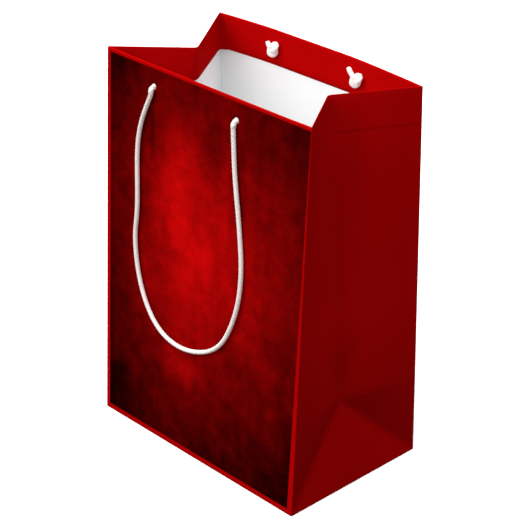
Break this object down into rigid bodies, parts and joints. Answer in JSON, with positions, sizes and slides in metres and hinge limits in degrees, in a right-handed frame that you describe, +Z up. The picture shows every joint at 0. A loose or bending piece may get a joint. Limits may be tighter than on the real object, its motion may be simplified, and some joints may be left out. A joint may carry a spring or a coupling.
{
  "type": "gift bag",
  "caption": "Upright paper gift bag with folded side gussets, a turned-in top hem, a board in the bottom and knotted twisted-cord handles.",
  "frame": {"origin": "middle of the bottom, on the surface that the bag stands on", "axes": "+X across the front panel to its right, +Y from the front panel to the back, +Z up"},
  "size_m": [0.2, 0.1284, 0.285],
  "materials": {
    "printed_paper": "laminated paper, printed red outside, plain white inside",
    "stiff_card": "plain grey-white card",
    "cord": "matt twisted off-white cord"
  },
  "bodies": {
    "base": {"back_bottom_flap": "printed_paper", "front_bottom_flap": "printed_paper", "left_bottom_flap": "printed_paper", "right_bottom_flap": "printed_paper", "base_board": "stiff_card"},
    "front_wall": {"front_panel": "printed_paper", "front_hem_card": "stiff_card", "front_hem": "printed_paper", "front_cord_in_left_hole": "cord", "front_cord_in_right_hole": "cord", "front_left_knot": "cord", "front_right_knot": "cord"},
    "front_handle": {"front_handle_cord": "cord"},
    "back_wall": {"back_panel": "printed_paper", "back_hem_card": "stiff_card", "back_hem": "printed_paper", "back_cord_in_left_hole": "cord", "back_cord_in_right_hole": "cord", "back_left_knot": "cord", "back_right_knot": "cord"},
    "back_handle": {"back_handle_cord": "cord"},
    "right_gusset_front": {"right_gusset_front_panel": "printed_paper", "right_gusset_front_foot": "printed_paper", "right_gusset_front_hem": "printed_paper"},
    "right_gusset_back": {"right_gusset_back_panel": "printed_paper", "right_gusset_back_foot": "printed_paper", "right_gusset_back_hem": "printed_paper", "side_seam_flap": "printed_paper"},
    "left_gusset_front": {"left_gusset_front_panel": "printed_paper", "left_gusset_front_foot": "printed_paper", "left_gusset_front_hem": "printed_paper"},
    "left_gusset_back": {"left_gusset_back_panel": "printed_paper", "left_gusset_back_foot": "printed_paper", "left_gusset_back_hem": "printed_paper"}
  },
  "joints": [
    {"name": "mouth", "type": "hinge", "parent": "base", "child": "front_wall", "pos_m": [0, -0.0625, 0], "axis": [-1, 0, 0], "range_deg": [0, 7.5], "stiffness_Nm_per_rad": 0.05, "springref_deg": -22.92},
    {"name": "back_wall_lean", "type": "hinge", "parent": "base", "child": "back_wall", "pos_m": [0, 0.0625, 0], "axis": [1, 0, 0], "range_deg": [0, 7.6]},
    {"name": "right_gusset_front_fold", "type": "hinge", "parent": "front_wall", "child": "right_gusset_front", "pos_m": [0.1, -0.0625, 0], "axis": [0.8111, -0.5836, -0.0383], "range_deg": [0, 9.33], "deforming": ["right_gusset_front_panel", "right_gusset_front_foot", "right_gusset_front_hem"]},
    {"name": "right_gusset_back_fold", "type": "hinge", "parent": "back_wall", "child": "right_gusset_back", "pos_m": [0.1, 0.0625, 0], "axis": [-0.8111, -0.5836, 0.0383], "range_deg": [0, 9.33], "deforming": ["right_gusset_back_panel", "right_gusset_back_foot", "right_gusset_back_hem", "side_seam_flap"]},
    {"name": "left_gusset_front_fold", "type": "hinge", "parent": "front_wall", "child": "left_gusset_front", "pos_m": [-0.1, -0.0625, 0], "axis": [0.887, 0.4608, 0.0302], "range_deg": [0, 8.54], "deforming": ["left_gusset_front_panel", "left_gusset_front_foot", "left_gusset_front_hem"]},
    {"name": "left_gusset_back_fold", "type": "hinge", "parent": "back_wall", "child": "left_gusset_back", "pos_m": [-0.1, 0.0625, 0], "axis": [-0.887, 0.4608, -0.0302], "range_deg": [0, 8.54], "deforming": ["left_gusset_back_panel", "left_gusset_back_foot", "left_gusset_back_hem"]},
    {"name": "front_handle_swing", "type": "hinge", "parent": "front_wall", "child": "front_handle", "pos_m": [0, -0.05218, 0.26981], "axis": [-1, 0, 0], "range_deg": [0, 170]},
    {"name": "back_handle_swing", "type": "hinge", "parent": "back_wall", "child": "back_handle", "pos_m": [0, 0.06302, 0.26851], "axis": [1, 0, 0], "range_deg": [0, 170]}
  ],
  "couplings": [
    {"joint": "back_wall_lean", "follows": "mouth", "ratio": 1},
    {"joint": "right_gusset_front_fold", "follows": "mouth", "ratio": 1.2319},
    {"joint": "right_gusset_back_fold", "follows": "mouth", "ratio": 1.2319},
    {"joint": "left_gusset_front_fold", "follows": "mouth", "ratio": 1.1269},
    {"joint": "left_gusset_back_fold", "follows": "mouth", "ratio": 1.1269}
  ]
}
